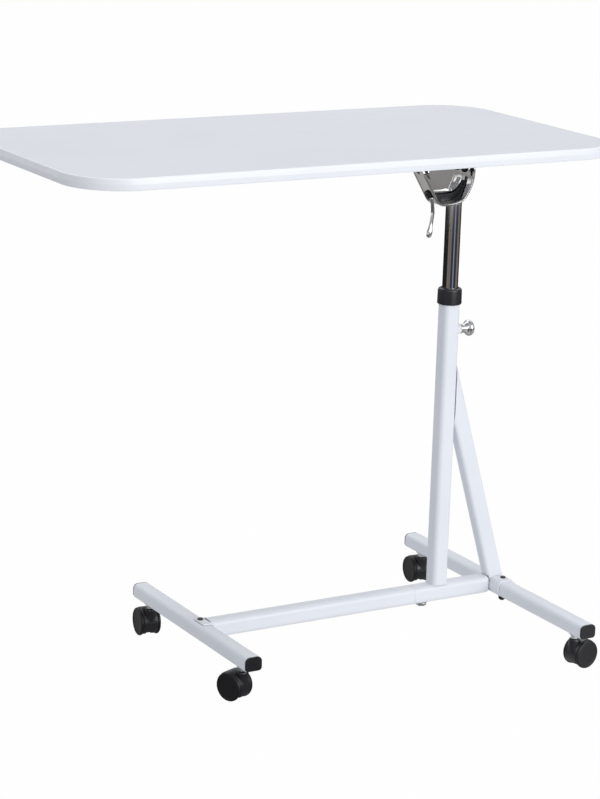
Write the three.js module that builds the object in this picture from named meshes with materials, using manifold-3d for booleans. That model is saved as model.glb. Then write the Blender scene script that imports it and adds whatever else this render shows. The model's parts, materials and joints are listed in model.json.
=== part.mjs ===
// Overbed table: tilting top on a height-adjustable post, H-shaped rolling base.
// Millimetres, +Z up, floor at Z = 0, long side of the top along X, user's side at -Y.
import * as THREE from 'three';
import { mergeVertices } from 'three/addons/utils/BufferGeometryUtils.js';
import Module from 'manifold-3d';

const wasm = await Module();
wasm.setup();

// ---------------------------------------------------------------- dimensions
const GAP = 0.3;                  // clearance left between neighbouring pieces

const TOP_LENGTH = 800;
const TOP_DEPTH = 410;
const TOP_THICK = 15.4;
const TOP_Z = 732;                // upper face of the board above the floor
const TOP_CORNER = 75;
const BAND = 3;                   // moulding depth outside the board
const TONGUE = 5;                 // moulding tongue in the board's groove
const TONGUE_THICK = 1.6;

const MAST_X = 257.6;             // post and mast axis
const TUBE = 25;                  // mast and spine, square
const TUBE_R = 7;
const MAST_WALL = 1.2;
const SPINE_WALL = 1.5;
const SPINE_Z = 63;
const SPINE_TOP = SPINE_Z + TUBE / 2;
const SPINE_JOINT_X = MAST_X - 43;

const FOOT_W = 25;                // D-shaped foot tube
const FOOT_H = 20;
const FOOT_R_TOP = 7;
const FOOT_R_LOW = 3.5;
const FOOT_WALL = 1.5;
const FOOT_LOW = 52;
const FOOT_Z = FOOT_LOW + FOOT_H / 2;
const FOOT_TOP = FOOT_LOW + FOOT_H;
const LEFT = { x: -123, y0: -145.4, y1: 183.6 };
const RIGHT = { x: 356.4, y0: -232.5, y1: 219.6 };
const CASTER_INSET = 28;

const SADDLE = 2.2;               // bracket plate
const SADDLE_LOW = FOOT_LOW + 7;
const SADDLE_GAP = 1.3;           // shadow gap between the right bracket and the spine's end
const BOLT_R = 3;
const HOLE_R = 3.4;

const COLLAR_Z = [486, 509];
const COLLAR_R = 17.2;
const MAST_TOP = 504;

const POST_R = 11.1;
const POST_WALL = 1.5;
const POST_LOW = 222;

const KNOB_Z = 448;

const BRACE_W = 25;
const BRACE_D = 20;
const BRACE_R = 5;
const BRACE_MID = [MAST_X + 49.6, 232];   // a point on its centre line, X and Z
const BRACE_SLOPE = 0.2975;               // run per unit of drop

const TILT_Z = 675;               // tilt axis, along X
const YOKE_W = 29;
const YOKE_T = 2.4;
const ROCKER_W = 24;
const ROCKER_T = 2;
const SWEEP_GAP = 1.3;            // between the rocker's sweep and the brake shoe
const HEAD_FRONT = 5;             // Y of the rocker's and the shoe's front, below the pins

const WHEEL_R = 20;               // outer rim, which rolls on the floor
const TREAD_R = 18.6;             // inner part, under the hood
const WHEEL_W = 10.6;
const WHEEL_Y = 9.7;              // wheel centre either side of the hood's middle
const TRAIL = 13;
const HOOD_R = 20.8;
const HOOD_HALF = 11;             // half the hood's width
const HOOD_TOP = 43;
const STEM_R = 4;
const PINTLE_R = 3;               // lower end of the stem, inside the hood

// ---------------------------------------------------------------- materials
const paint = { color: 0xe9edf3, roughness: 0.42, metalness: 0.0 };
const laminate = { color: 0xdfe4ea, roughness: 0.5, metalness: 0.0 };
const edging = { color: 0xf1f3f6, roughness: 0.4, metalness: 0.0 };
const chrome = { color: 0xc9c9c9, roughness: 0.12, metalness: 1.0 };
const zinc = { color: 0xb3b5b8, roughness: 0.35, metalness: 0.9 };
const darkSteel = { color: 0x2a2a2c, roughness: 0.4, metalness: 0.6 };
const blackPlastic = { color: 0x1d1d20, roughness: 0.45, metalness: 0.0 };
const rubber = { color: 0x18181a, roughness: 0.6, metalness: 0.0 };

// ------------------------------------------------------------------- helpers
const part = new THREE.Group();
part.name = 'overbed_table';

function toManifold(geometry) {
  let g = geometry.clone();
  g.deleteAttribute('normal');
  g.deleteAttribute('uv');
  g = mergeVertices(g, 1e-4);
  return new wasm.Manifold(new wasm.Mesh({
    numProp: 3,
    vertProperties: new Float32Array(g.attributes.position.array),
    triVerts: new Uint32Array(g.index.array),
  }));
}

function toGeometry(manifold) {
  const mesh = manifold.getMesh();
  const g = new THREE.BufferGeometry();
  g.setAttribute('position', new THREE.BufferAttribute(new Float32Array(mesh.vertProperties), 3));
  g.setIndex(new THREE.BufferAttribute(new Uint32Array(mesh.triVerts), 1));
  g.computeVertexNormals();
  return g;
}

function cut(geometry, ...tools) {
  let solid = toManifold(geometry);
  for (const tool of tools) solid = solid.subtract(toManifold(tool));
  return toGeometry(solid);
}

function join(...geometries) {
  return toGeometry(geometries.map(toManifold).reduce((a, b) => a.add(b)));
}

function overlap(a, b) {
  return toGeometry(toManifold(a).intersect(toManifold(b)));
}

function add(name, geometry, material) {
  const mesh = new THREE.Mesh(geometry, new THREE.MeshStandardMaterial(material));
  mesh.name = name;
  part.add(mesh);
}

function basis(x, y, z) {
  return new THREE.Matrix4().makeBasis(
    new THREE.Vector3(...x), new THREE.Vector3(...y), new THREE.Vector3(...z));
}

const ALONG = {
  x: basis([0, 1, 0], [0, 0, 1], [1, 0, 0]),   // section drawn in Y, Z
  y: basis([1, 0, 0], [0, 0, 1], [0, -1, 0]),  // section drawn in X, Z
  z: basis([1, 0, 0], [0, 1, 0], [0, 0, 1]),   // section drawn in X, Y
};

function arc(cx, cy, r, from, steps) {
  const points = [];
  for (let i = 0; i <= steps; i += 1) {
    const a = THREE.MathUtils.degToRad(from + 90 * i / steps);
    points.push(new THREE.Vector2(cx + r * Math.cos(a), cy + r * Math.sin(a)));
  }
  return points;
}

// Rounded rectangle with its own radius for the upper and the lower corners.
function outline(w, h, rTop, rLow = rTop, steps = 6) {
  return [
    ...arc(w / 2 - rTop, h / 2 - rTop, rTop, 0, steps),
    ...arc(-w / 2 + rTop, h / 2 - rTop, rTop, 90, steps),
    ...arc(-w / 2 + rLow, -h / 2 + rLow, rLow, 180, steps),
    ...arc(w / 2 - rLow, -h / 2 + rLow, rLow, 270, steps),
  ];
}

// Extrudes a section between two stations of the named axis.
function run(points, axis, from, to, hole = null) {
  const shape = new THREE.Shape(points);
  if (hole) shape.holes.push(new THREE.Path(hole));
  const g = new THREE.ExtrudeGeometry(shape, { depth: to - from, bevelEnabled: false });
  g.translate(0, 0, axis === 'y' ? -to : from);
  return g.applyMatrix4(ALONG[axis]);
}

function tube(w, h, rTop, rLow, wall, axis, from, to) {
  const inner = outline(w - 2 * wall, h - 2 * wall, rTop - wall, Math.max(rLow - wall, 0.6));
  return run(outline(w, h, rTop, rLow), axis, from, to, inner);
}

function box(x0, x1, y0, y1, z0, z1) {
  const g = new THREE.BoxGeometry(x1 - x0, y1 - y0, z1 - z0);
  return g.translate((x0 + x1) / 2, (y0 + y1) / 2, (z0 + z1) / 2);
}

// Solid of revolution about Z from [radius, height] pairs.
function turned(profile, segments = 20) {
  const points = profile.map(([r, z]) => new THREE.Vector2(r, z));
  return new THREE.LatheGeometry(points, segments).rotateX(Math.PI / 2);
}

// Turns a piece made about Z so that its +Z points along dir, then moves it to origin.
function aim(geometry, dir, origin) {
  const q = new THREE.Quaternion().setFromUnitVectors(
    new THREE.Vector3(0, 0, 1), new THREE.Vector3(...dir).normalize());
  return geometry.applyQuaternion(q).translate(...origin);
}

function rod(r, from, to, segments = 14) {
  return turned([[0, from], [r, from], [r, to], [0, to]], segments);
}

function drill(r, x, y, z0, z1, segments = 12) {
  return rod(r, z0, z1, segments).translate(x, y, 0);
}

// Offsets an open line of points to its left by d.
function offsetLine(points, d) {
  return points.map((p, i) => {
    const a = points[Math.max(i - 1, 0)];
    const b = points[Math.min(i + 1, points.length - 1)];
    const t = b.clone().sub(a).normalize();
    return new THREE.Vector2(p.x - t.y * d, p.y + t.x * d);
  });
}

// ----------------------------------------------------------------- tabletop
const boardOutline = outline(TOP_LENGTH - 2 * BAND, TOP_DEPTH - 2 * BAND, TOP_CORNER - BAND,
  TOP_CORNER - BAND, 8);
const TOP_LOW = TOP_Z - TOP_THICK;
const TOP_MID = TOP_Z - TOP_THICK / 2;
const PLATE = { x: MAST_X - 20, w: 108, d: 92, t: 2.5 };
const PLATE_LOW = TOP_LOW - GAP - PLATE.t;
const screwSpots = [[-44, -36], [44, -36], [-44, 36], [44, 36]]
  .map(([x, y]) => [PLATE.x + x, y]);

function ring(inset, z) {
  const r = TOP_CORNER - inset;
  return outline(TOP_LENGTH - 2 * inset, TOP_DEPTH - 2 * inset, r, r, 8)
    .map((p) => new THREE.Vector3(p.x, p.y, z));
}

// Closed moulding from a list of [inset, z] going anticlockwise round its section.
function moulding(section) {
  const rings = section.map(([inset, z]) => ring(inset, z));
  const n = rings[0].length;
  const positions = rings.flat().flatMap((p) => [p.x, p.y, p.z]);
  const index = [];
  rings.forEach((_, k) => {
    const next = (k + 1) % rings.length;
    for (let i = 0; i < n; i += 1) {
      const j = (i + 1) % n;
      const a = k * n + i;
      const b = k * n + j;
      const c = next * n + i;
      const d = next * n + j;
      index.push(a, b, d, a, d, c);
    }
  });
  const g = new THREE.BufferGeometry();
  g.setAttribute('position', new THREE.Float32BufferAttribute(positions, 3));
  g.setIndex(index);
  g.computeVertexNormals();
  return g;
}

const groove = moulding([
  [BAND - 1, TOP_MID - TONGUE_THICK / 2 - GAP],
  [BAND - 1, TOP_MID + TONGUE_THICK / 2 + GAP],
  [BAND + TONGUE + GAP, TOP_MID + TONGUE_THICK / 2 + GAP],
  [BAND + TONGUE + GAP, TOP_MID - TONGUE_THICK / 2 - GAP],
]);
add('tabletop_board',
  cut(run(boardOutline, 'z', TOP_LOW, TOP_Z), groove,
    ...screwSpots.map(([x, y]) => drill(2.3, x, y, TOP_LOW - 1, TOP_LOW + 10.5, 10))),
  laminate);

const bandIn = BAND - GAP / 2;
add('edge_band', moulding([
  [bandIn, TOP_LOW],
  [1.6, TOP_LOW],
  [0.5, TOP_LOW + 1.6],
  [0, TOP_MID],
  [0.5, TOP_Z - 1.6],
  [1.6, TOP_Z],
  [bandIn, TOP_Z],
  [bandIn, TOP_MID + TONGUE_THICK / 2],
  [BAND + TONGUE, TOP_MID + TONGUE_THICK / 2],
  [BAND + TONGUE, TOP_MID - TONGUE_THICK / 2],
  [bandIn, TOP_MID - TONGUE_THICK / 2],
]), edging);

add('mounting_plate',
  cut(run(outline(PLATE.w, PLATE.d, 14, 14), 'z', PLATE_LOW, PLATE_LOW + PLATE.t)
    .translate(PLATE.x, 0, 0),
  ...screwSpots.map(([x, y]) => drill(2.4, x, y, PLATE_LOW - 1, TOP_LOW, 10))),
  zinc);

screwSpots.forEach(([x, y], i) => {
  add(`plate_screw_${i + 1}`, turned([
    [0, PLATE_LOW - 2.4], [3, PLATE_LOW - 2.1], [4.3, PLATE_LOW - 0.9], [4.3, PLATE_LOW - 0.1],
    [2, PLATE_LOW - 0.1], [2, TOP_LOW + 8], [0, TOP_LOW + 10],
  ], 10).translate(x, y, 0), zinc);
});

// --------------------------------------------------------------- tilt head
// Outer face of the yoke's U from its left tip round to its right tip, as X from the post and
// Z from the tilt axis.
const yokeCurve = new THREE.CatmullRomCurve3([
  [-39.9, -36], [-36.2, -41.6], [-30.8, -45.5], [-24, -47.1], [-10, -46.6], [0.5, -44.6],
  [7.1, -41.2], [13.1, -34.4], [19.1, -23.4], [22.6, -12], [23.7, 0],
].map(([x, z]) => new THREE.Vector3(x, z, 0)));
const yokeLine = [
  new THREE.Vector2(-71.5, 17.6),
  ...yokeCurve.getPoints(26).map((p) => new THREE.Vector2(p.x, p.y)),
  new THREE.Vector2(23.7, 16),
];

// Rocker's outline below the tilt axis, nested in the yoke.
const rockerCurve = new THREE.CatmullRomCurve3([
  [-35.2, -29.4], [-32.4, -31.1], [-28, -31.5], [-12, -31.5], [-1, -30.4], [6.2, -26.6],
  [12, -19.6], [16, -10], [17.3, 0],
].map(([x, z]) => new THREE.Vector3(x, z, 0)));
const rockerLine = [
  new THREE.Vector2(-51.3, 13),
  new THREE.Vector2(-51.3, -2),
  ...rockerCurve.getPoints(22).map((p) => new THREE.Vector2(p.x, p.y)),
  new THREE.Vector2(17.3, 13),
];

const shifted = (points) => points.map((p) => new THREE.Vector2(p.x + MAST_X, p.y + TILT_Z));
const band = (line, from, to) => shifted([
  ...offsetLine(line, from), ...offsetLine(line, to).reverse(),
]);
const filled = (line, inset) => shifted(offsetLine(line, inset));

// Ends an upright strip in a half round about the tilt axis.
function roundTop(halfWidth, radius) {
  const below = box(MAST_X - 90, MAST_X + 40, -halfWidth, halfWidth, TILT_Z - 60, TILT_Z - 2);
  return join(below, aim(rod(radius, MAST_X - 90, MAST_X + 40, 24), [1, 0, 0], [0, 0, TILT_Z]));
}

const pinHole = aim(rod(HOLE_R, MAST_X - 90, MAST_X + 40), [1, 0, 0], [0, 0, TILT_Z]);

const ARM_OUT = [-0.861, 0, -0.508];           // outward normal of the yoke's sloping arm
const LEVER_SPOT = [MAST_X - 41.6, 0, TILT_Z - 33];    // where the lever's bolt leaves the arm
const along = (d) => LEVER_SPOT.map((v, i) => v + ARM_OUT[i] * d);
const leverHole = aim(rod(HOLE_R, -6, 8), ARM_OUT, LEVER_SPOT);

const yokeStrip = run(band(yokeLine, 0, YOKE_T), 'y', -YOKE_W / 2, YOKE_W / 2);
add('yoke', cut(overlap(yokeStrip, roundTop(YOKE_W / 2, YOKE_W / 2)), pinHole, leverHole), chrome);

const ROCKER_TOP = PLATE_LOW - GAP;
const rockerBlock = overlap(
  run(filled(rockerLine, 0), 'y', -ROCKER_W / 2, ROCKER_W / 2), roundTop(ROCKER_W / 2, 10.4));
const rockerWeb = run(shifted([
  new THREE.Vector2(-40, -18), new THREE.Vector2(12, -18), new THREE.Vector2(15, -12),
  new THREE.Vector2(15, ROCKER_TOP - TILT_Z), new THREE.Vector2(-49.5, ROCKER_TOP - TILT_Z),
  new THREE.Vector2(-49.5, -2),
]), 'y', ROCKER_W / 2 - 2.5, ROCKER_W / 2);
const rockerFlange = box(MAST_X - 49.5, MAST_X + 15, -ROCKER_W / 2, ROCKER_W / 2,
  ROCKER_TOP - ROCKER_T, ROCKER_TOP);
const hollow = run(filled(rockerLine, ROCKER_T), 'y', -ROCKER_W, ROCKER_W / 2 - 2.5);
const openFront = box(MAST_X - 80, MAST_X + 40, -20, HEAD_FRONT, TILT_Z - 60, TILT_Z - 9);
add('rocker', cut(join(cut(rockerBlock, hollow), rockerWeb, rockerFlange), pinHole, openFront),
  chrome);

// Brake shoe: fills the rear of the yoke's bottom up to the circle the rocker sweeps, with a
// pad reaching forward round the lever's bolt.
const swept = [];
for (let x = -49; x <= 16; x += 5) {
  const below = rockerLine.slice(1, -1);
  const k = below.findIndex((p) => p.x >= x && p.y < -1);
  const left = below[Math.max(k - 1, 0)];
  const s = (x - left.x) / Math.max(below[k].x - left.x, 0.001);
  const lower = left.y + (below[k].y - left.y) * THREE.MathUtils.clamp(s, 0, 1);
  swept.push([Math.hypot(lower, ROCKER_W / 2) + SWEEP_GAP, x]);
}
const sweep = aim(turned([[0, -49], ...swept, [0, swept[swept.length - 1][1]]], 28),
  [1, 0, 0], [MAST_X, 0, TILT_Z]);
const shoeBlank = overlap(
  run(filled(yokeLine, YOKE_T + GAP), 'y', -YOKE_W / 2 + 1, YOKE_W / 2 - 1),
  box(MAST_X - 38, MAST_X + 16, -20, 20, TILT_Z - 68, TILT_Z - 16));
const beforeShoe = box(MAST_X - 25, MAST_X + 40, -20, HEAD_FRONT, TILT_Z - 70, TILT_Z);
const beforePad = box(MAST_X - 60, MAST_X + 40, -20, -6, TILT_Z - 70, TILT_Z);
add('brake_shoe', cut(shoeBlank, sweep, leverHole, beforeShoe, beforePad), blackPlastic);

// The left pin ends flush in the sloping arm; the right one has a head on both ends.
const pinHead = (x) => [
  [0, x - 2.8], [3.6, x - 2.2], [4.6, x - 0.8], [4.6, x], [BOLT_R, x],
];
const pin = (profile, dir) => aim(turned(profile, 20), [dir, 0, 0], [MAST_X, 0, TILT_Z]);
add('tilt_pin_left', pin([...pinHead(49.3 - ROCKER_T), [BOLT_R, 59], [0, 59]], -1), darkSteel);
const RIGHT_PIN = [17.3 - ROCKER_T - 1.2, 23.7 + GAP];
add('tilt_pin_right', pin([
  ...pinHead(RIGHT_PIN[0]), [BOLT_R, RIGHT_PIN[1]], [5.5, RIGHT_PIN[1]], [5.5, RIGHT_PIN[1] + 0.9],
  [4.2, RIGHT_PIN[1] + 2.4], [0, RIGHT_PIN[1] + 3],
], 1), darkSteel);

// Clamping lever: a thin hub on the sloping arm, with the stalk hanging from its front edge.
add('lever_bolt', aim(turned([
  [0, -3.5], [BOLT_R - 0.5, -3.5], [BOLT_R, -3], [BOLT_R, 3.4], [4.2, 3.4], [4.2, 4],
  [3.2, 4.8], [0, 5.1],
], 20), ARM_OUT, LEVER_SPOT), darkSteel);
add('lever_hub', cut(aim(turned([
  [0, 0.4], [7.2, 0.4], [7.6, 0.8], [7.6, 2.4], [6.9, 3.1], [0, 3.1],
], 28), ARM_OUT, LEVER_SPOT), aim(rod(HOLE_R, -2, 12), ARM_OUT, LEVER_SPOT)), darkSteel);

const LEVER_Y = -11;
const leverPath = new THREE.CatmullRomCurve3([
  [-44.9, -34.4], [-43.6, -39.6], [-42.2, -46], [-41.5, -56], [-42.8, -67], [-44.6, -78],
  [-46.2, -89],
].map(([x, z]) => new THREE.Vector3(MAST_X + x, LEVER_Y, TILT_Z + z)));
function leverSolid() {
  const circle = [];
  for (let i = 0; i < 14; i += 1) {
    const a = i * Math.PI / 7;
    circle.push(new THREE.Vector2(2.7 * Math.cos(a), 2.7 * Math.sin(a)));
  }
  const stalk = new THREE.ExtrudeGeometry(new THREE.Shape(circle), {
    steps: 14, extrudePath: leverPath,
  });
  const bulb = turned([
    [0, -8.6], [2.4, -8.1], [3.7, -6.6], [4.1, -4], [3.9, 2], [3, 8], [2.4, 11], [0, 11],
  ], 18);
  return join(stalk, aim(bulb, [0.15, 0, 1], [MAST_X - 45.6, LEVER_Y, TILT_Z - 84]));
}
add('clamp_lever', leverSolid(), chrome);

// -------------------------------------------------------------- post, mast
const postBlank = turned([
  [POST_R - POST_WALL, POST_LOW], [POST_R, POST_LOW], [POST_R, TILT_Z - 28],
  [POST_R - POST_WALL, TILT_Z - 28], [POST_R - POST_WALL, POST_LOW],
], 32).translate(MAST_X, 0, 0);
const underYoke = run([
  ...shifted(offsetLine(yokeLine, -GAP)), new THREE.Vector2(MAST_X + 60, TILT_Z + 32),
  new THREE.Vector2(MAST_X - 90, TILT_Z + 32),
], 'y', -30, 30);
add('inner_post', cut(postBlank, underYoke), chrome);

const guideOutline = outline(22, 22, 5.6);
add('post_guide', join(
  run(guideOutline, 'z', POST_LOW - 14, POST_LOW - GAP),
  turned([[0, POST_LOW - 1], [9.3, POST_LOW - 1], [9.3, POST_LOW + 11], [8.3, POST_LOW + 12],
    [0, POST_LOW + 12]], 16),
).translate(MAST_X, 0, 0), blackPlastic);

add('mast_tube', cut(
  tube(TUBE, TUBE, TUBE_R, TUBE_R, MAST_WALL, 'z', SPINE_TOP + GAP, MAST_TOP)
    .translate(MAST_X, 0, 0),
  aim(rod(4.5, 8, 16), [1, 0, 0], [MAST_X, 0, KNOB_Z]),
), paint);

add('mast_collar', cut(
  turned([
    [0, COLLAR_Z[0]], [COLLAR_R - 1, COLLAR_Z[0]], [COLLAR_R, COLLAR_Z[0] + 1],
    [COLLAR_R - 0.3, COLLAR_Z[1] - 3.4], [COLLAR_R - 1.2, COLLAR_Z[1] - 1.2],
    [COLLAR_R - 3.2, COLLAR_Z[1]], [12.6, COLLAR_Z[1]], [12.2, COLLAR_Z[1] - 2], [0, COLLAR_Z[1] - 2],
  ], 36).translate(MAST_X, 0, 0),
  drill(POST_R + GAP, MAST_X, 0, COLLAR_Z[0] - 9, COLLAR_Z[1] + 9, 32),
  run(outline(TUBE + 2 * GAP, TUBE + 2 * GAP, TUBE_R + GAP), 'z', COLLAR_Z[0] - 9, MAST_TOP + GAP)
    .translate(MAST_X, 0, 0),
), blackPlastic);

add('knob_boss', aim(turned([
  [4.4, TUBE / 2 + GAP], [7.4, TUBE / 2 + GAP], [7, 18.6], [6.2, 19.3], [4.4, 19.3],
  [4.4, TUBE / 2 + GAP],
], 20), [1, 0, 0], [MAST_X, 0, KNOB_Z]), paint);
add('clamp_knob', aim(turned([
  [0, 11.6], [3.2, 11.6], [4, 12.4], [4, 19.6], [6.6, 19.6], [7.2, 20.6], [6.4, 23], [7.6, 29.6],
  [9.4, 31], [11.2, 32.2], [11.5, 34], [10.8, 36.6], [8.4, 38.9], [4.6, 40.1], [0, 40.5],
], 18), [1, 0, 0], [MAST_X, 0, KNOB_Z]), chrome);

// -------------------------------------------------------------------- brace
// Room for a foot and its bracket, cut from the tubes that end against them.
function shoulder(foot) {
  const reach = SADDLE + 2 * GAP;
  const r = FOOT_R_TOP + reach;
  return run(outline(FOOT_W + 2 * reach, FOOT_H + 2 * reach, r, r), 'y', -40, 40)
    .translate(foot.x, 0, FOOT_Z);
}

function brace() {
  const lean = Math.atan(BRACE_SLOPE);
  const g = tube(BRACE_W, BRACE_D, BRACE_R, BRACE_R, SPINE_WALL, 'z', -240, 200)
    .rotateY(-lean)
    .translate(BRACE_MID[0], 0, BRACE_MID[1]);
  return cut(g,
    shoulder(RIGHT),
    box(MAST_X - 60, MAST_X + TUBE / 2 + GAP, -40, 40, 0, 700),
    box(MAST_X - 60, RIGHT.x - FOOT_W / 2 - 1, -40, 40, -40, SPINE_TOP + GAP),
    box(MAST_X, MAST_X + 200, -40, 40, -60, SPINE_TOP - 5));
}
add('brace_tube', brace(), paint);

// -------------------------------------------------------------------- spine
const COPE_X = LEFT.x + 10;       // the left end reaches over the bracket's rounded shoulder
const spineRight = RIGHT.x - FOOT_W / 2 - GAP - SADDLE - SADDLE_GAP;
const spineLow = SPINE_Z - TUBE / 2;
const BOLT_X = MAST_X - 24.5;
add('spine_left', cut(
  tube(TUBE, TUBE, TUBE_R, TUBE_R, SPINE_WALL, 'x', COPE_X, SPINE_JOINT_X - GAP)
    .translate(0, 0, SPINE_Z),
  shoulder(LEFT)), paint);
add('spine_right', cut(
  tube(TUBE, TUBE, TUBE_R, TUBE_R, SPINE_WALL, 'x', SPINE_JOINT_X, spineRight)
    .translate(0, 0, SPINE_Z),
  drill(4.4, BOLT_X, 0, spineLow - 3, spineLow + 7)), paint);
add('spine_insert', cut(
  tube(21.4, 21.4, 5.2, 5.2, 1.5, 'x', SPINE_JOINT_X - 90, SPINE_JOINT_X + 45)
    .translate(0, 0, SPINE_Z),
  drill(4.4, BOLT_X, 0, spineLow - 3, spineLow + 7)), zinc);
add('spine_bolt', join(
  drill(4, BOLT_X, 0, spineLow - 3, spineLow + 8),
  drill(7.6, BOLT_X, 0, spineLow - 5.4, spineLow - 1.2, 6),
  drill(8.4, BOLT_X, 0, spineLow - 1.6, spineLow - GAP),
), zinc);

// ------------------------------------------------------------ foot crossbars
function footTube(foot, bolts) {
  const holes = [foot.y0 + CASTER_INSET, foot.y1 - CASTER_INSET]
    .map((y) => drill(STEM_R + GAP, foot.x, y, FOOT_LOW - 5, FOOT_LOW + 5));
  const through = bolts.map(([x, y]) => drill(HOLE_R, x, y, FOOT_LOW - 5, FOOT_TOP + 5));
  return cut(
    tube(FOOT_W, FOOT_H, FOOT_R_TOP, FOOT_R_LOW, FOOT_WALL, 'y', foot.y0, foot.y1)
      .translate(foot.x, 0, FOOT_Z),
    ...holes, ...through);
}

// Pressed plate hugging a foot tube between x0 and x1, from its crown down to SADDLE_LOW.
function saddle(foot, halfLength, x0, x1, bolts) {
  const low = (offset) => outline(FOOT_W + 2 * offset, FOOT_H + 2 * offset,
    FOOT_R_TOP + offset, FOOT_R_LOW + offset);
  const wrap = run(low(GAP + SADDLE), 'y', -halfLength, halfLength, low(GAP))
    .translate(foot.x, 0, FOOT_Z);
  return cut(overlap(wrap, box(x0, x1, -halfLength - 1, halfLength + 1, SADDLE_LOW, FOOT_TOP + 9)),
    ...bolts.map(([x, y]) => drill(HOLE_R, x, y, FOOT_LOW - 5, FOOT_TOP + 9)));
}

const leftBolts = [[LEFT.x + 1, 6.5]];
const rightBolts = [[RIGHT.x + 2.4, -21.5], [RIGHT.x + 2.4, 21.5]];
add('left_foot', footTube(LEFT, leftBolts), paint);
add('right_foot', footTube(RIGHT, rightBolts), paint);
add('left_saddle', saddle(LEFT, 14, LEFT.x - 5, LEFT.x + 40, leftBolts), paint);
add('right_saddle', saddle(RIGHT, 35, RIGHT.x - 40, RIGHT.x + 40, rightBolts), paint);

// Domed bolt through a bracket and foot, with a cap nut that reaches drop below the foot.
function footBolt(name, [x, y], drop) {
  const seat = FOOT_TOP + SADDLE + 2 * GAP;
  const low = FOOT_LOW - drop;
  add(`${name}_bolt`, turned([
    [0, low + 2.4], [BOLT_R, low + 2.4], [BOLT_R, seat], [4.2, seat], [4.2, seat + 0.7],
    [3, seat + 1.9], [0, seat + 2.3],
  ], 18).translate(x, y, 0), darkSteel);
  add(`${name}_nut`, turned([
    [HOLE_R, FOOT_LOW - GAP], [HOLE_R, low + 2], [0, low + 2], [0, low], [2.6, low + 0.4],
    [4.4, low + 1.8], [5.2, low + 4], [5.2, FOOT_LOW - GAP], [HOLE_R, FOOT_LOW - GAP],
  ], 18).translate(x, y, 0), darkSteel);
}
footBolt('left_foot', leftBolts[0], 6);
footBolt('right_foot_front', rightBolts[0], 11.5);
footBolt('right_foot_rear', rightBolts[1], 11.5);

function endCap(foot, end) {
  const w = FOOT_WALL + GAP;
  const inner = outline(FOOT_W - 2 * w, FOOT_H - 2 * w, FOOT_R_TOP - w, FOOT_R_LOW - w);
  const face = outline(FOOT_W - 0.4, FOOT_H - 0.4, FOOT_R_TOP - 0.2, FOOT_R_LOW + 1);
  const y = end > 0 ? foot.y1 : foot.y0;
  const plug = end > 0 ? run(inner, 'y', y - 12, y + 1) : run(inner, 'y', y - 1, y + 12);
  const lid = end > 0 ? run(face, 'y', y + GAP, y + 2.2) : run(face, 'y', y - 2.2, y - GAP);
  return join(plug, lid).translate(foot.x, 0, FOOT_Z);
}

// ------------------------------------------------------------------ casters
// Made with the stem on the origin's Z axis and the wheels trailing along +X.
const CASTERS = {
  front_left: { foot: LEFT, end: -1, heading: 112 },
  rear_left: { foot: LEFT, end: 1, heading: 84 },
  rear_right: { foot: RIGHT, end: 1, heading: 86 },
  front_right: { foot: RIGHT, end: -1, heading: 8 },
};

function casterStem() {
  return turned([
    [0, 28], [PINTLE_R - 0.5, 28], [PINTLE_R, 28.5], [PINTLE_R, HOOD_TOP - 0.5],
    [5.6, HOOD_TOP + GAP], [5.6, FOOT_LOW - 2.6], [8.2, FOOT_LOW - 2.6], [8.2, FOOT_LOW - GAP],
    [STEM_R, FOOT_LOW - GAP], [STEM_R, FOOT_LOW + 14], [STEM_R - 1, FOOT_LOW + 15],
    [0, FOOT_LOW + 15],
  ], 24);
}

// Hood: a drum over both wheels, low in front and higher behind, a web between the wheels
// that carries the axle, and the socket for the stem.
function casterHood() {
  const across = (g) => aim(g, [0, 1, 0], [TRAIL, 0, WHEEL_R]);
  const inside = TREAD_R + 0.5;
  const web = WHEEL_Y - WHEEL_W / 2 - 0.4;
  const below = box(-60, 60, -30, 30, -60, 0).rotateY(THREE.MathUtils.degToRad(-9.5))
    .translate(TRAIL, 0, WHEEL_R / 2 + 1);
  const edge = 1.2;
  const drum = across(turned([
    [0, -HOOD_HALF], [HOOD_R - edge, -HOOD_HALF], [HOOD_R, -HOOD_HALF + edge],
    [HOOD_R, HOOD_HALF - edge], [HOOD_R - edge, HOOD_HALF], [0, HOOD_HALF],
  ], 40));
  const socket = turned([
    [0, 24], [7.6, 24], [8.2, HOOD_TOP - 3], [7, HOOD_TOP - 0.6], [6.4, HOOD_TOP - 0.6],
    [0, HOOD_TOP - 0.6],
  ], 24);
  return cut(join(drum, socket),
    across(rod(inside, -HOOD_HALF - 1, -web, 40)),
    across(rod(inside, web, HOOD_HALF + 1, 40)),
    below,
    rod(PINTLE_R + GAP, 27, 50, 20),
    across(rod(2.9, -20, 20, 12)));
}

// Wheel with its outer rim standing clear of the hood and a closed, dished outer face.
function casterWheel(side) {
  const h = WHEEL_W / 2;
  const rim = HOOD_HALF + 0.4 - WHEEL_Y;
  const g = turned([
    [2.8, -h], [TREAD_R - 0.8, -h], [TREAD_R, -h + 0.8], [TREAD_R, rim], [WHEEL_R - 0.3, rim],
    [WHEEL_R, rim + 0.3], [WHEEL_R, h - 1.8], [WHEEL_R - 0.6, h - 0.7], [WHEEL_R - 1.8, h - 0.1],
    [WHEEL_R - 3, h], [15.4, h - 0.5], [6, h - 0.8], [0, h - 0.9], [0, h - 2.6], [2.8, h - 2.6],
    [2.8, -h],
  ], 40);
  return aim(g, [0, side, 0], [TRAIL, side * WHEEL_Y, WHEEL_R]);
}

const AXLE = WHEEL_Y + WHEEL_W / 2 - 3;
const axle = () => aim(rod(2.5, -AXLE, AXLE, 10), [0, 1, 0], [TRAIL, 0, WHEEL_R]);

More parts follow.
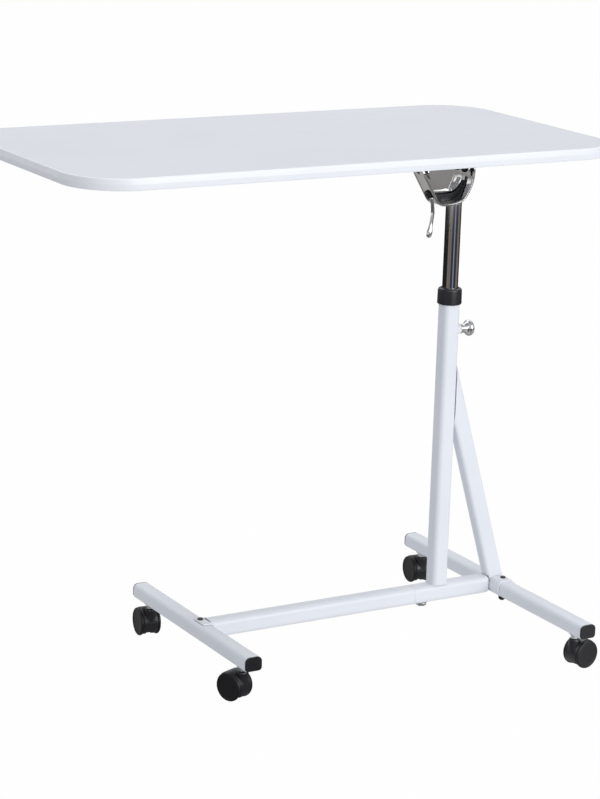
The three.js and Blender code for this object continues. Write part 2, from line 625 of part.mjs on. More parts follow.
for (const [name, { foot, end, heading }] of Object.entries(CASTERS)) {
  const y = end > 0 ? foot.y1 - CASTER_INSET : foot.y0 + CASTER_INSET;
  const place = (g) => g.rotateZ(THREE.MathUtils.degToRad(heading)).translate(foot.x, y, 0);
  add(`${name}_end_cap`, endCap(foot, end), blackPlastic);
  add(`${name}_caster_stem`, place(casterStem()), zinc);
  add(`${name}_caster_hood`, place(casterHood()), blackPlastic);
  add(`${name}_caster_axle`, place(axle()), zinc);
  add(`${name}_wheel_a`, place(casterWheel(1)), rubber);
  add(`${name}_wheel_b`, place(casterWheel(-1)), rubber);
}

export default part;
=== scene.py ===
"""Looks for the overbed table: materials, fine meshes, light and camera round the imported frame."""
import json
import math
import bmesh
import bpy
from mathutils import Matrix, Vector

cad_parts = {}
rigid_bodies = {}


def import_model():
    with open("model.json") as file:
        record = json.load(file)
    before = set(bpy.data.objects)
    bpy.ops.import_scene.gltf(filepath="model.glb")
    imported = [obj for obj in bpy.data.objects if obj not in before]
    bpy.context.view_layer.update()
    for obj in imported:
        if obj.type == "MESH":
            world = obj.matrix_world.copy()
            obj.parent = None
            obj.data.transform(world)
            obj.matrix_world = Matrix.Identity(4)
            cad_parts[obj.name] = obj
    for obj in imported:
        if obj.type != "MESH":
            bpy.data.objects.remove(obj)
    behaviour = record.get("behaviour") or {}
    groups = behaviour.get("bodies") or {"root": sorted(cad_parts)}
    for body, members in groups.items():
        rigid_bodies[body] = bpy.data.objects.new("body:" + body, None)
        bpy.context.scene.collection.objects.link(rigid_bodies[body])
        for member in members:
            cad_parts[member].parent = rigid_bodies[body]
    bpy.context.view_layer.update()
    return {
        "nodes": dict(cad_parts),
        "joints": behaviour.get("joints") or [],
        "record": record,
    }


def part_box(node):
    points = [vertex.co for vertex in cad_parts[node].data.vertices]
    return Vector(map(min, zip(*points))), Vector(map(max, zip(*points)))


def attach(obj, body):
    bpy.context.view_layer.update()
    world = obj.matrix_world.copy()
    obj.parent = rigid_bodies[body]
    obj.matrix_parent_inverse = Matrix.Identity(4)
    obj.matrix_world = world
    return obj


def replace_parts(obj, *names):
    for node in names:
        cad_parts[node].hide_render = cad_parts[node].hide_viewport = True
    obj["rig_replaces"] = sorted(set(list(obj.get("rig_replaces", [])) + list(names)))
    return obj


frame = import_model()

MM = 0.001
scene = bpy.context.scene
NODES = frame["nodes"]
BODY_OF = {n: b for b, ns in frame["record"]["behaviour"]["bodies"].items() for n in ns}
SLOT_OF = {s["node"]: s["material_slot"] for s in frame["record"]["subparts"]}
JOINTS = {j["name"]: j for j in frame["joints"]}
CORNERS = ("front_left", "rear_left", "rear_right", "front_right")


# ------------------------------------------------------------------- camera
CAMERA_AT = (-1.6864, -2.9127, 1.2647)
CAMERA_TURN = math.radians(-30.38)       # about Z, from looking along +Y
CAMERA_TILT = math.radians(-14.81)
CAMERA_ROLL = math.radians(1.82)
LENS = 115.48                            # on a 36 mm sensor


def make_camera():
    a, e, r = CAMERA_TURN, CAMERA_TILT, CAMERA_ROLL
    ahead = Vector((-math.sin(a) * math.cos(e), math.cos(a) * math.cos(e), math.sin(e)))
    right = Vector((math.cos(a), math.sin(a), 0))
    up = right.cross(ahead)
    across = math.cos(r) * right + math.sin(r) * up
    upward = -math.sin(r) * right + math.cos(r) * up
    data = bpy.data.cameras.new("camera")
    data.lens = LENS
    data.sensor_width = 36
    data.clip_end = 100
    camera = bpy.data.objects.new("camera", data)
    scene.collection.objects.link(camera)
    turned = Matrix((across, upward, -ahead)).transposed()
    camera.matrix_world = Matrix.Translation(CAMERA_AT) @ turned.to_4x4()
    scene.camera = camera


make_camera()


# ---------------------------------------------------------------- materials
class Shader:
    """A small wrapper for building one material's node tree."""

    def __init__(self, name):
        self.material = bpy.data.materials.new(name)
        self.material.use_nodes = True
        self.tree = self.material.node_tree
        self.surface = self.tree.nodes["Principled BSDF"]
        self.place = self.node("TexCoord").outputs["Object"]

    def node(self, kind, **inputs):
        made = self.tree.nodes.new("ShaderNode" + kind)
        for key, value in inputs.items():
            self.feed(made.inputs[key.replace("_", " ")], value)
        return made

    def feed(self, socket, value):
        if isinstance(value, bpy.types.NodeSocket):
            self.tree.links.new(value, socket)
        else:
            socket.default_value = value

    def noise(self, size, detail=3.0, rough=0.5, stretch=None):
        """Noise whose features are about size metres across."""
        place = self.place
        if stretch:
            place = self.node("Mapping", Vector=place, Scale=stretch).outputs[0]
        return self.node("TexNoise", Vector=place, Scale=1 / size, Detail=detail,
                         Roughness=rough).outputs["Fac"]

    def ramp(self, factor, low, high, start=0.3, end=0.7):
        """Maps factor from start..end to the colours or numbers low..high."""
        made = self.node("MapRange")
        if isinstance(low, (int, float)):
            for key, value in zip(("Value", "From Min", "From Max", "To Min", "To Max"),
                                  (factor, start, end, low, high)):
                self.feed(made.inputs[key], value)
            return made.outputs["Result"]
        self.feed(made.inputs["Value"], factor)
        self.feed(made.inputs["From Min"], start)
        self.feed(made.inputs["From Max"], end)
        mix = self.tree.nodes.new("ShaderNodeMix")
        mix.data_type = "RGBA"
        self.feed(mix.inputs[0], made.outputs["Result"])
        self.feed(mix.inputs[6], (*low, 1))
        self.feed(mix.inputs[7], (*high, 1))
        return mix.outputs[2]

    def blend(self, factor, low, high):
        mix = self.tree.nodes.new("ShaderNodeMix")
        mix.data_type = "RGBA"
        self.feed(mix.inputs[0], factor)
        self.feed(mix.inputs[6], low if isinstance(low, bpy.types.NodeSocket) else (*low, 1))
        self.feed(mix.inputs[7], high if isinstance(high, bpy.types.NodeSocket) else (*high, 1))
        return mix.outputs[2]

    def bump(self, height, depth, strength=1.0):
        made = self.node("Bump", Height=height, Distance=depth, Strength=strength)
        self.feed(self.surface.inputs["Normal"], made.outputs[0])

    def set(self, **values):
        for key, value in values.items():
            self.feed(self.surface.inputs[key.replace("_", " ")], value)


def paint():
    s = Shader("white_powder_coat")
    cloud = s.noise(0.12, 2)
    s.set(Base_Color=s.ramp(cloud, (0.815, 0.842, 0.90), (0.845, 0.87, 0.922)),
          Roughness=s.ramp(s.noise(0.03), 0.34, 0.46), Specular_IOR_Level=0.45)
    s.bump(s.noise(0.0011, 2), 0.00003, 0.35)
    return s.material


def laminate():
    s = Shader("pale_grey_laminate")
    fleck = s.noise(0.0016, 4, 0.6)
    cloud = s.noise(0.25, 3)
    tone = s.ramp(cloud, (0.69, 0.71, 0.755), (0.72, 0.74, 0.785))
    s.set(Base_Color=s.blend(s.ramp(fleck, 0.0, 0.35, 0.45, 0.75), tone, (0.64, 0.665, 0.72)),
          Roughness=s.ramp(s.noise(0.05), 0.42, 0.52), Specular_IOR_Level=0.4)
    s.bump(s.noise(0.0007, 2), 0.00002, 0.3)
    return s.material


def edging():
    s = Shader("white_edge_moulding")
    s.set(Base_Color=s.ramp(s.noise(0.09), (0.83, 0.855, 0.90), (0.87, 0.89, 0.93)),
          Roughness=s.ramp(s.noise(0.02), 0.32, 0.42), Specular_IOR_Level=0.5)
    s.bump(s.noise(0.0009, 1, 0.5, (0.05, 1, 1)), 0.00002, 0.25)
    return s.material


def chrome():
    s = Shader("chrome")
    smear = s.noise(0.018, 2, 0.5, (1, 1, 0.35))
    s.set(Base_Color=s.ramp(s.noise(0.05), (0.60, 0.595, 0.585), (0.66, 0.655, 0.65)),
          Metallic=1.0, Roughness=s.ramp(smear, 0.035, 0.085))
    s.bump(s.noise(0.012, 1), 0.00001, 0.06)
    return s.material


def zinc():
    s = Shader("zinc_plate")
    spangle = s.noise(0.0025, 3, 0.7)
    s.set(Base_Color=s.ramp(spangle, (0.66, 0.67, 0.69), (0.80, 0.81, 0.83)),
          Metallic=1.0, Roughness=s.ramp(spangle, 0.25, 0.42))
    s.bump(s.noise(0.0006, 2), 0.00002, 0.3)
    return s.material


def dark_steel():
    s = Shader("black_zinc_steel")
    s.set(Base_Color=s.ramp(s.noise(0.004), (0.025, 0.025, 0.028), (0.06, 0.06, 0.065)),
          Metallic=0.8, Roughness=s.ramp(s.noise(0.002), 0.25, 0.4))
    s.bump(s.noise(0.0005, 2), 0.00002, 0.3)
    return s.material


def black_plastic():
    s = Shader("black_moulded_plastic")
    s.set(Base_Color=s.ramp(s.noise(0.03), (0.009, 0.009, 0.0115), (0.013, 0.013, 0.016)),
          Roughness=s.ramp(s.noise(0.006), 0.26, 0.34), Specular_IOR_Level=0.42)
    s.bump(s.noise(0.0004, 2), 0.00002, 0.3)
    return s.material


def tread():
    s = Shader("black_wheel_tread")
    dust = s.ramp(s.noise(0.004, 4, 0.65), 0.0, 0.25, 0.5, 0.8)
    s.set(Base_Color=s.blend(dust, (0.0095, 0.0095, 0.011), (0.017, 0.017, 0.0185)),
          Roughness=s.ramp(s.noise(0.003), 0.34, 0.46), Specular_IOR_Level=0.3)
    s.bump(s.noise(0.0006, 2), 0.00003, 0.35)
    return s.material


LOOKS = {
    "laminate": laminate(), "edging": edging(), "white_paint": paint(), "chrome": chrome(),
    "zinc": zinc(), "dark_steel": dark_steel(), "black_plastic": black_plastic(), "tread": tread(),
}


# ------------------------------------------------------------ mesh building
def finish_piece(name, bm, nodes, sharp=32, slot=None, body=None, weighted=True):
    """Makes bm an object that stands for the CAD nodes, with their body and finish."""
    bmesh.ops.recalc_face_normals(bm, faces=bm.faces)
    mesh = bpy.data.meshes.new(name)
    bm.to_mesh(mesh)
    bm.free()
    mesh.polygons.foreach_set("use_smooth", [True] * len(mesh.polygons))
    mesh.set_sharp_from_angle(angle=math.radians(sharp))
    obj = bpy.data.objects.new(name, mesh)
    scene.collection.objects.link(obj)
    slot = slot or SLOT_OF[nodes[0]]
    mesh.materials.append(LOOKS[slot])
    if weighted:
        flat = obj.modifiers.new("flat_faces", "WEIGHTED_NORMAL")
        flat.keep_sharp = True
    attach(obj, body or BODY_OF[nodes[0]])
    if nodes:
        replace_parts(obj, *nodes)
    return obj


def softened(node, width, segments=2, angle=32):
    """The CAD solid with its sharp edges rounded to width metres."""
    bm = bmesh.new()
    bm.from_mesh(NODES[node].data)
    bmesh.ops.remove_doubles(bm, verts=bm.verts, dist=2e-6)
    bmesh.ops.dissolve_limit(bm, angle_limit=math.radians(0.4), verts=bm.verts, edges=bm.edges)
    sharp = [e for e in bm.edges if e.is_manifold and e.calc_face_angle() > math.radians(angle)]
    bmesh.ops.bevel(bm, geom=sharp, offset=width, segments=segments, profile=0.5,
                    affect="EDGES", clamp_overlap=True)
    return bm


def skin(bm, a, b):
    """Joins two rings of vertices, either of which may be a single point."""
    n = max(len(a), len(b))
    for i in range(n):
        j = (i + 1) % n
        corners = [a[i % len(a)], a[j % len(a)], b[j % len(b)], b[i % len(b)]]
        bm.faces.new(dict.fromkeys(corners))


def lathe(profile, segments, place):
    """Solid of revolution of [radius, height] pairs in millimetres about Z, moved by place."""
    bm = bmesh.new()
    rings = []
    for r, z in profile:
        turns = segments if r else 1
        angles = [2 * math.pi * i / turns for i in range(turns)]
        rings.append([bm.verts.new(place @ Vector((r * math.cos(t) * MM, r * math.sin(t) * MM,
                                                   z * MM))) for t in angles])
    for a, b in zip(rings, rings[1:]):
        skin(bm, a, b)
    return bm


def axis_place(at, axis):
    """Moves a piece made about Z to the point at, with its +Z along axis."""
    turn = Vector(axis).to_track_quat("Z", "Y").to_matrix().to_4x4()
    return Matrix.Translation(at) @ turn


def swept(points, radii, sides=24):
    """Round bar along points in metres, radii in metres, with rounded ends."""
    bm = bmesh.new()
    side = Vector((0, 1, 0))
    rings = []
    for i, (p, r) in enumerate(zip(points, radii)):
        ahead = points[min(i + 1, len(points) - 1)] - points[max(i - 1, 0)]
        u = side.cross(ahead).normalized()
        v = ahead.cross(u).normalized()
        rings.append([bm.verts.new(p + r * (math.cos(t) * u + math.sin(t) * v))
                      for t in (2 * math.pi * k / sides for k in range(sides))])
    for a, b in zip(rings, rings[1:]):
        skin(bm, a, b)
    for ring in (rings[0], rings[-1]):
        bm.faces.new(ring)
    return bm


def smooth_line(points, count):
    """Catmull-Rom curve through points, sampled count times per span."""
    padded = [points[0], *points, points[-1]]
    made = []
    for a, b, c, d in zip(padded, padded[1:], padded[2:], padded[3:]):
        for k in range(count):
            t = k / count
            made.append(0.5 * (2 * b + (c - a) * t + (2 * a - 5 * b + 4 * c - d) * t ** 2
                               + (3 * b - 3 * c + d - a) * t ** 3))
    made.append(points[-1])
    return made


# ----------------------------------------------------------------- tabletop
top_low, top_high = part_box("edge_band")
CORNER = 75 * MM                         # radius of the top's corners, in plan
CORNER_STEPS = 28


def top_ring(bm, inset, z):
    """Rounded rectangle inset from the moulding's outermost line."""
    r = CORNER - inset
    half_x = top_high.x - inset
    half_y = top_high.y - inset
    made = []
    for sx, sy, start in ((1, 1, 0), (-1, 1, 90), (-1, -1, 180), (1, -1, 270)):
        for i in range(CORNER_STEPS + 1):
            t = math.radians(start + 90 * i / CORNER_STEPS)
            made.append(bm.verts.new((sx * (half_x - r) + r * math.cos(t),
                                      sy * (half_y - r) + r * math.sin(t), z)))
    return made


def add_board():
    low, high = top_low.z, top_high.z
    bm = bmesh.new()
    profile = [(3.25, low), (3.0, low + 0.25 * MM), (3.0, high - 0.25 * MM), (3.25, high)]
    rings = [top_ring(bm, inset * MM, z) for inset, z in profile]
    for a, b in zip(rings, rings[1:]):
        skin(bm, a, b)
    bm.faces.new(rings[0])
    bm.faces.new(rings[-1])
    finish_piece("board", bm, ["tabletop_board"])


def add_band():
    """Two-part moulding: a shallow ridge at mid height and rounded lips."""
    low, high = top_low.z / MM, top_high.z / MM
    mid = (low + high) / 2
    profile = [
        (2.85, low), (1.9, low + 0.02), (1.25, low + 0.25), (0.85, low + 0.75),
        (0.62, low + 1.5), (0.42, low + 3.2), (0.2, mid - 2.0), (0.04, mid - 0.7), (0, mid),
        (0.04, mid + 0.7), (0.2, mid + 2.0), (0.42, high - 3.2), (0.62, high - 1.5),
        (0.85, high - 0.75), (1.25, high - 0.25), (1.9, high - 0.02), (2.85, high),
    ]
    bm = bmesh.new()
    rings = [top_ring(bm, inset * MM, z * MM) for inset, z in profile]
    for a, b in zip(rings, rings[1:] + rings[:1]):
        skin(bm, a, b)
    finish_piece("moulding", bm, ["edge_band"], sharp=50)


add_board()
add_band()


# ------------------------------------------------------------------ casters
WHEEL_OUT = 9.7 * MM                     # from the joint's point to the wheel's middle
WHEEL_SEGMENTS = 96


def add_wheel(node, joint):
    """One wheel: a tread under the hood, a wider rim beside it and a dished outer face."""
    h = 5.3                              # half the wheel's width, in millimetres
    profile = [
        (0, h - 2.6), (2.8, h - 2.6), (2.8, -h), (17.2, -h), (18, -h + 0.15), (18.45, -h + 0.5),
        (18.6, -h + 1.1), (18.6, 1.7), (19.5, 1.7), (19.85, 1.78), (20, 2.1), (20, h - 2.3),
        (19.88, h - 1.6), (19.5, h - 0.95), (18.9, h - 0.45), (18.1, h - 0.12), (17.2, h),
        (16.2, h - 0.08), (15.6, h - 0.3), (15.2, h - 0.5), (14.4, h - 0.62), (7, h - 0.82),
        (6.4, h - 0.7), (5.8, h - 0.66), (5.2, h - 0.75), (0, h - 0.85),
    ]
    corners = [v.co for v in NODES[node].data.vertices]
    middle = sum(corners, Vector()) / len(corners)
    at = Vector(joint["pos_m"])
    outward = Vector(joint["axis"]).normalized()
    if (middle - at).dot(outward) < 0:
        outward = -outward
    place = axis_place(at + outward * WHEEL_OUT, outward)
    finish_piece("fine_" + node, lathe(profile, WHEEL_SEGMENTS, place), [node], sharp=40)


for corner in CORNERS:
    for side in "ab":
        add_wheel(f"{corner}_wheel_{side}", JOINTS[f"{corner}_wheel_{side}_spin"])
    finish_piece(f"{corner}_hood", softened(f"{corner}_caster_hood", 0.45 * MM, 2, 40),
                 [f"{corner}_caster_hood"], sharp=35)
    finish_piece(f"{corner}_cap", softened(f"{corner}_end_cap", 0.8 * MM, 3, 40),
                 [f"{corner}_end_cap"], sharp=40)


# --------------------------------------------------------------- post, head
MAST_X = 257.6 * MM                      # axis of the mast and the post
TILT_Z = JOINTS["top_tilt"]["pos_m"][2]
POST_SIDES = 96
BELOW_YOKE = 0.5                         # a height between the collar and the yoke
YOKE_UNDERSIDE = 0.63


def under_yoke(x, y):
    """Height of the yoke's underside above the point x, y."""
    start = Vector((x, y, BELOW_YOKE))
    hit, at, _, _ = NODES["yoke"].ray_cast(start, Vector((0, 0, 1)))
    return at.z if hit else YOKE_UNDERSIDE


def add_post():
    """Polished tube, cut at its top to meet the yoke's curved underside."""
    low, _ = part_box("inner_post")
    bm = bmesh.new()
    turns = [2 * math.pi * i / POST_SIDES for i in range(POST_SIDES)]

    def ring(radius, z=None):
        made = []
        for t in turns:
            x, y = MAST_X + radius * MM * math.cos(t), radius * MM * math.sin(t)
            made.append(bm.verts.new((x, y, z or under_yoke(x, y) - 0.3 * MM)))
        return made

    rings = [ring(10.7, low.z), ring(11.1, low.z + 0.4 * MM), ring(11.1), ring(9.6),
             ring(9.6, low.z)]
    for a, b in zip(rings, rings[1:] + rings[:1]):
        skin(bm, a, b)
    finish_piece("polished_post", bm, ["inner_post"], sharp=40)


def add_weld(name, points, size, body, slot, seed):
    """Uneven weld bead of radius size metres along a closed loop of points."""
    bm = bmesh.new()
    sides = 8
    count = len(points)
    centre = sum(points, Vector()) / count
    rings = []
    for i, p in enumerate(points):
        ahead = (points[(i + 1) % count] - points[i - 1]).normalized()
        out = p - centre
        out = (out - out.dot(ahead) * ahead).normalized()
        up = ahead.cross(out).normalized()
        lump = 0.82 + 0.18 * math.sin(i * 2.1 + seed) + 0.12 * math.sin(i * 0.73 + 2 * seed)
        r = size * lump
        rings.append([bm.verts.new(p + r * (math.cos(t) * out + math.sin(t) * up))
                      for t in (2 * math.pi * k / sides for k in range(sides))])
    for a, b in zip(rings, rings[1:] + rings[:1]):
        skin(bm, a, b)
    finish_piece(name, bm, [], sharp=80, slot=slot, body=body, weighted=False)


def post_loop(radius, count=72):
    """Circle round the post, just under the yoke."""
    made = []
    for i in range(count):
        t = 2 * math.pi * i / count
        x, y = MAST_X + radius * math.cos(t), radius * math.sin(t)
        made.append(Vector((x, y, under_yoke(x, y) - 1.0 * MM)))
    return made


def square_loop(half, radius, steps=7, straight=9):
    """Rounded square as evenly spread (a, b) pairs in millimetres, for a weld to follow."""
    arcs = []
    for sa, sb, start in ((1, 1, 0), (-1, 1, 90), (-1, -1, 180), (1, -1, 270)):
        turns = [math.radians(start + 90 * i / steps) for i in range(steps + 1)]
        arcs.append([(sa * (half - radius) + radius * math.cos(t),
                      sb * (half - radius) + radius * math.sin(t)) for t in turns])
    made = []
    for arc, following in zip(arcs, arcs[1:] + arcs[:1]):
        made += arc
        (a, b), (c, d) = arc[-1], following[0]
        made += [(a + (c - a) * k / straight, b + (d - b) * k / straight)
                 for k in range(1, straight)]
    return made


foot_low, foot_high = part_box("left_foot")
spine_low, spine_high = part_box("spine_left")
FOOT_X = (foot_low.x + foot_high.x) / 2
SPINE_Z = (spine_low.z + spine_high.z) / 2
FOOT_ROUND = 7 * MM                      # radius of the foot's upper corners
SHOULDER_ROUND = 9.6 * MM                # radius of the bracket's shoulder over them
SHOULDER_X = 5.5 * MM                    # from the foot's middle to the shoulder's centre
COPE_X = 9.4 * MM                        # from the foot's middle to the spine's end


def on_shoulder(a, b):
    """Point of the left end's weld: a across and b up the spine, against the bracket's round."""
    z = SPINE_Z + b * MM
    rise = max(0.0, z - (foot_high.z - FOOT_ROUND))
    reach = math.sqrt(max(0.0, SHOULDER_ROUND ** 2 - rise ** 2))
    return Vector((FOOT_X + max(SHOULDER_X + reach, COPE_X), a * MM, z))


def on_spine(a, b):
    """Point of the weld at the mast's foot."""
    return Vector((MAST_X + a * MM, b * MM, spine_high.z + 0.2 * MM))


add_post()
add_weld("post_weld", post_loop(11.5 * MM), 1.15 * MM, "post", "zinc", 0.4)
add_weld("mast_weld", [on_spine(a, b) for a, b in square_loop(12.6, 7)], 1.2 * MM,
         "base", "white_paint", 1.1)
add_weld("left_weld", [on_shoulder(a, b) for a, b in square_loop(12.3, 6.7)], 1.1 * MM,
         "base", "white_paint", 2.2)

# Hemmed edges along both sides of the yoke: outer line as X from the post, Z from the tilt axis.
YOKE_LINE = [
    (-61.0, -0.5), (-50.3, -18.4), (-39.9, -36), (-36.2, -41.6), (-30.8, -45.5), (-24, -47.1),
    (-10, -46.6), (0.5, -44.6), (7.1, -41.2), (13.1, -34.4), (19.1, -23.4), (22.6, -12),
    (23.7, -0.5),
]


HEM_R = 1.95 * MM
HEM_INSET = 1.2 * MM                     # half the yoke's thickness
HEM_Y = 12.6


def add_hem(name, y):
    """Rounded bar along one edge of the yoke, tapered over its first and last four rings."""
    line = [Vector((MAST_X + x * MM, y * MM, TILT_Z + z * MM)) for x, z in YOKE_LINE]
    line = smooth_line(line, 8)
    last = len(line) - 1
    moved = []
    radii = []
    for i, p in enumerate(line):
        ahead = (line[min(i + 1, last)] - line[max(i - 1, 0)]).normalized()
        inward = Vector((-ahead.z, 0, ahead.x))
        moved.append(p + inward * HEM_INSET)
        taper = 1 - min(i, last - i, 4) / 4
        radii.append(HEM_R * math.sqrt(max(0.02, 1 - taper ** 2)))
    finish_piece(name, swept(moved, radii), [], sharp=60, slot="chrome", body="post")


add_hem("yoke_front_hem", -HEM_Y)
add_hem("yoke_rear_hem", HEM_Y)


LEVER_Y = -11 * MM
LEVER_LINE = [
    (-44.9, -34.4), (-43.6, -39.6), (-42.2, -46), (-41.5, -56), (-42.8, -67), (-44.6, -78),
    (-46.6, -90.6),
]


def rounded_end(distance, length):
    """Share of the full radius at distance from an end that is rounded over length."""
    return math.sqrt(max(0.0, 1 - (1 - min(distance / length, 1)) ** 2))


def add_lever():
    """Slim stalk, a little thicker at the hub and with a bulb near its lower end."""
    line = smooth_line([Vector((MAST_X + x * MM, LEVER_Y, TILT_Z + z * MM))
                        for x, z in LEVER_LINE], 10)
    radii = []
    for i in range(len(line)):
        s = i / (len(line) - 1)
        bulb = 1.5 * math.exp(-((s - 0.90) / 0.085) ** 2)
        full = 2.45 + 0.35 * math.exp(-(s / 0.12) ** 2) + bulb
        radius = full * rounded_end(s, 0.035) * rounded_end(1 - s, 0.055)
        radii.append(max(radius, 0.25) * MM)
    finish_piece("lever", swept(line, radii), ["clamp_lever"], sharp=60)


add_lever()


def add_knob():
    """Clamping knob: a screw, a stepped collar and a flared round grip."""
    profile = [
        (0, 11.6), (3.2, 11.6), (4, 12.4), (4, 19.6), (6.2, 19.6), (6.8, 19.9), (7.1, 20.5),
        (6.9, 21.4), (6.35, 22.6), (6.2, 24), (6.5, 26.4), (7.2, 28.8), (8.2, 30.3), (9.6, 31.1),
        (10.7, 31.8), (11.3, 32.8), (11.5, 34), (11.35, 35.2), (10.8, 36.6), (9.8, 37.9),
        (8.4, 38.9), (6.6, 39.6), (4.6, 40.1), (2.4, 40.4), (0, 40.5),
    ]
    at = Vector(JOINTS["clamp_knob_turn"]["pos_m"])
    place = axis_place((MAST_X, 0, at.z), (1, 0, 0))
    finish_piece("knob", lathe(profile, 72, place), ["clamp_knob"], sharp=40)


add_knob()

# Remaining CAD solids, with the rounding in millimetres that making leaves on their edges.
ROUNDING = {
    "yoke": 0.7, "rocker": 0.8, "brake_shoe": 0.6, "mast_collar": 0.35, "knob_boss": 0.5,
    "left_saddle": 0.7, "right_saddle": 0.7, "mounting_plate": 0.5,
}
done = {n for o in scene.objects for n in o.get("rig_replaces", ())}
for node in sorted(NODES):
    if node not in done:
        finish_piece("fine_" + node, softened(node, ROUNDING.get(node, 0.3) * MM), [node])


# ---------------------------------------------------------- floor and light
FLOOR_HALF = 40
SEEN = (0.992, 0.992, 0.992)             # what the camera sees of the floor and the surround
BOUNCED = (0.66, 0.67, 0.70)             # what the floor gives to matt surfaces
CLOSE_EDGE = (1.5, 1.8)                  # distances from the post where the cards change
FAR_EDGE = (3.45, 3.6)


def add_floor():
    """Floor that looks plain white, lights pieces softly and mirrors as dark and pale cards."""
    bm = bmesh.new()
    bmesh.ops.create_grid(bm, x_segments=1, y_segments=1, size=FLOOR_HALF)
    mesh = bpy.data.meshes.new("floor")
    bm.to_mesh(mesh)
    bm.free()
    floor = bpy.data.objects.new("floor", mesh)
    scene.collection.objects.link(floor)
    s = Shader("pale_floor")
    tree = s.tree
    split = s.node("SeparateXYZ", Vector=s.place)

    def maths(kind, a, b=0.0):
        made = tree.nodes.new("ShaderNodeMath")
        made.operation = kind
        s.feed(made.inputs[0], a)
        s.feed(made.inputs[1], b)
        return made.outputs[0]

    x = maths("SUBTRACT", split.outputs["X"], MAST_X)
    y = split.outputs["Y"]
    turn = maths("ADD", maths("DIVIDE", maths("ARCTAN2", y, x), 2 * math.pi), 0.5)
    away = maths("SQRT", maths("ADD", maths("MULTIPLY", x, x), maths("MULTIPLY", y, y)))

    def cards(stops):
        """Colour by bearing from the post: stops are (degrees, colour) from -180 up."""
        ramp = tree.nodes.new("ShaderNodeValToRGB")
        s.feed(ramp.inputs[0], turn)
        band = ramp.color_ramp
        for k, (bearing, colour) in enumerate(stops):
            at = (bearing + 180) / 360
            stop = band.elements[k] if k < 2 else band.elements.new(at)
            stop.position = at
            stop.color = (*colour, 1)
        return ramp.outputs[0]

    black, navy = (0.02, 0.02, 0.022), (0.045, 0.047, 0.075)
    tan, blue = (0.27, 0.235, 0.20), (0.30, 0.32, 0.41)
    near = cards([(-180, black), (180, black), (-176, tan), (-150, (0.19, 0.16, 0.14)),
                  (-132, tan), (-127, navy), (-100, navy), (-96, blue), (-83, blue), (-79, navy),
                  (-47, navy), (-41, tan), (-8, (0.2, 0.175, 0.15)), (0, black)])
    pale, grey = (0.95, 0.93, 0.92), (0.36, 0.355, 0.35)
    far = cards([(-180, pale), (180, pale), (-150, pale), (-110, (0.5, 0.5, 0.5)), (-60, grey),
                 (-20, grey), (30, (0.12, 0.12, 0.12)), (75, (0.18, 0.18, 0.18)), (105, pale)])
    close = cards([(-180, (0.2, 0.2, 0.2)), (180, (0.2, 0.2, 0.2)), (-120, (0.1, 0.1, 0.1)),
                   (-90, (0.5, 0.5, 0.5)), (-60, (0.7, 0.7, 0.7)), (0, (0.3, 0.3, 0.3)),
                   (60, (0.36, 0.355, 0.35)), (110, (0.5, 0.49, 0.48))])
    mirrored = s.blend(s.ramp(away, 0.0, 1.0, *CLOSE_EDGE), close, near)
    mirrored = s.blend(s.ramp(away, 0.0, 1.0, *FAR_EDGE), mirrored, far)
    path = s.node("LightPath")
    seen = s.blend(path.outputs["Is Glossy Ray"], BOUNCED, mirrored)
    seen = s.blend(path.outputs["Is Camera Ray"], seen, SEEN)
    s.set(Base_Color=(0, 0, 0, 1), Roughness=1.0, Specular_IOR_Level=0.0,
          Emission_Color=seen, Emission_Strength=1.0)
    # Clear from below, so that the table's underside can be looked at.
    clear = tree.nodes.new("ShaderNodeMixShader")
    s.feed(clear.inputs[0], s.node("NewGeometry").outputs["Backfacing"])
    s.feed(clear.inputs[1], s.surface.outputs[0])
    s.feed(clear.inputs[2], s.node("BsdfTransparent").outputs[0])
    s.feed(tree.nodes["Material Output"].inputs["Surface"], clear.outputs[0])
    mesh.materials.append(s.material)


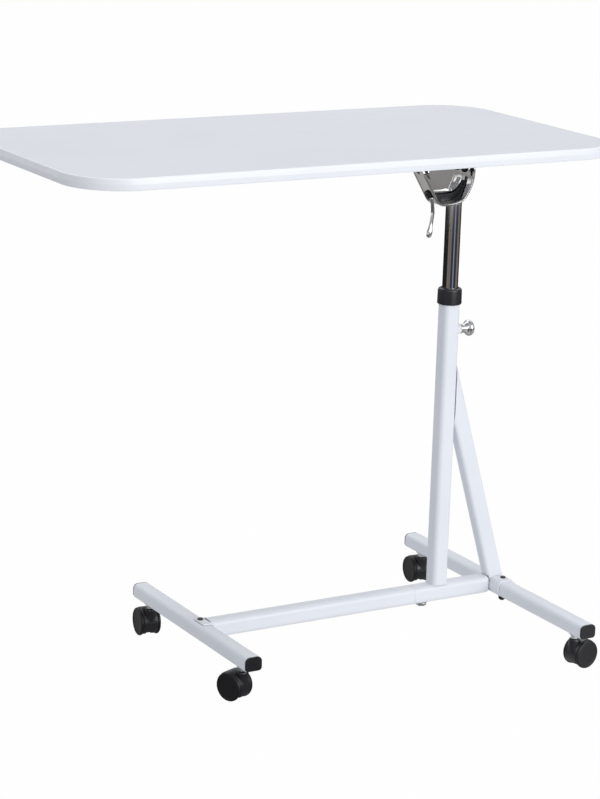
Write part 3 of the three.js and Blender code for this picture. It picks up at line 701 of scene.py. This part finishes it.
def add_light(name, place, aim, size, power):
    """Rectangular soft light at place, turned towards aim."""
    data = bpy.data.lights.new(name, "AREA")
    data.shape = "RECTANGLE"
    data.size, data.size_y = size
    data.energy = power
    light = bpy.data.objects.new(name, data)
    scene.collection.objects.link(light)
    light.location = place
    light.rotation_euler = (Vector(aim) - Vector(place)).to_track_quat("-Z", "Y").to_euler()


add_floor()
add_light("key", (1.2, -4.2, 1.2), (0.1, 0, 0.45), (3.0, 2.0), 84)
add_light("overhead", (0.2, 0.3, 3.4), (0, 0, 0.4), (3.2, 3.2), 42)


SURROUND = 0.52                          # strength of the even light from all round
SHEET = 2.2                              # strength of the bright sheets seen in reflections


def add_world():
    """Even pale surround, with two bright sheets that only show in reflections."""
    world = bpy.data.worlds.new("studio")
    scene.world = world
    world.use_nodes = True
    tree = world.node_tree

    def node(kind, *values):
        made = tree.nodes.new(kind)
        for socket, value in zip(made.inputs, values):
            if isinstance(value, bpy.types.NodeSocket):
                tree.links.new(value, socket)
            else:
                socket.default_value = value
        return made

    way = node("ShaderNodeSeparateXYZ", node("ShaderNodeTexCoord").outputs["Generated"])

    def product(a, b):
        made = node("ShaderNodeMath", a, b)
        made.operation = "MULTIPLY"
        return made.outputs[0]

    def span(axis, start, end):
        """0 to 1 as the direction's part along axis goes from start to end."""
        return node("ShaderNodeMapRange", way.outputs[axis], start, end, 0.0, 1.0).outputs[0]

    backdrop = product(span("Y", 0.2, 0.7), span("Z", 0.34, 0.55))
    softbox = product(product(span("Y", -0.35, -0.6), span("Z", 0.05, 0.2)), span("Z", 0.75, 0.5))
    sheets = node("ShaderNodeMath", backdrop, softbox)
    path = node("ShaderNodeLightPath")
    mirrored = product(sheets.outputs[0], path.outputs["Is Glossy Ray"])
    strength = node("ShaderNodeMapRange", mirrored, 0.0, 1.0, SURROUND, SHEET)
    background = tree.nodes["Background"]
    background.inputs["Color"].default_value = (0.965, 0.98, 1, 1)
    tree.links.new(strength.outputs[0], background.inputs["Strength"])
    plain = node("ShaderNodeBackground", (*SEEN, 1), 1.0)
    seen = node("ShaderNodeMixShader", path.outputs["Is Camera Ray"], background.outputs[0],
                plain.outputs[0])
    tree.links.new(seen.outputs[0], tree.nodes["World Output"].inputs["Surface"])


add_world()
scene.view_settings.view_transform = "Standard"
scene.view_settings.look = "None"
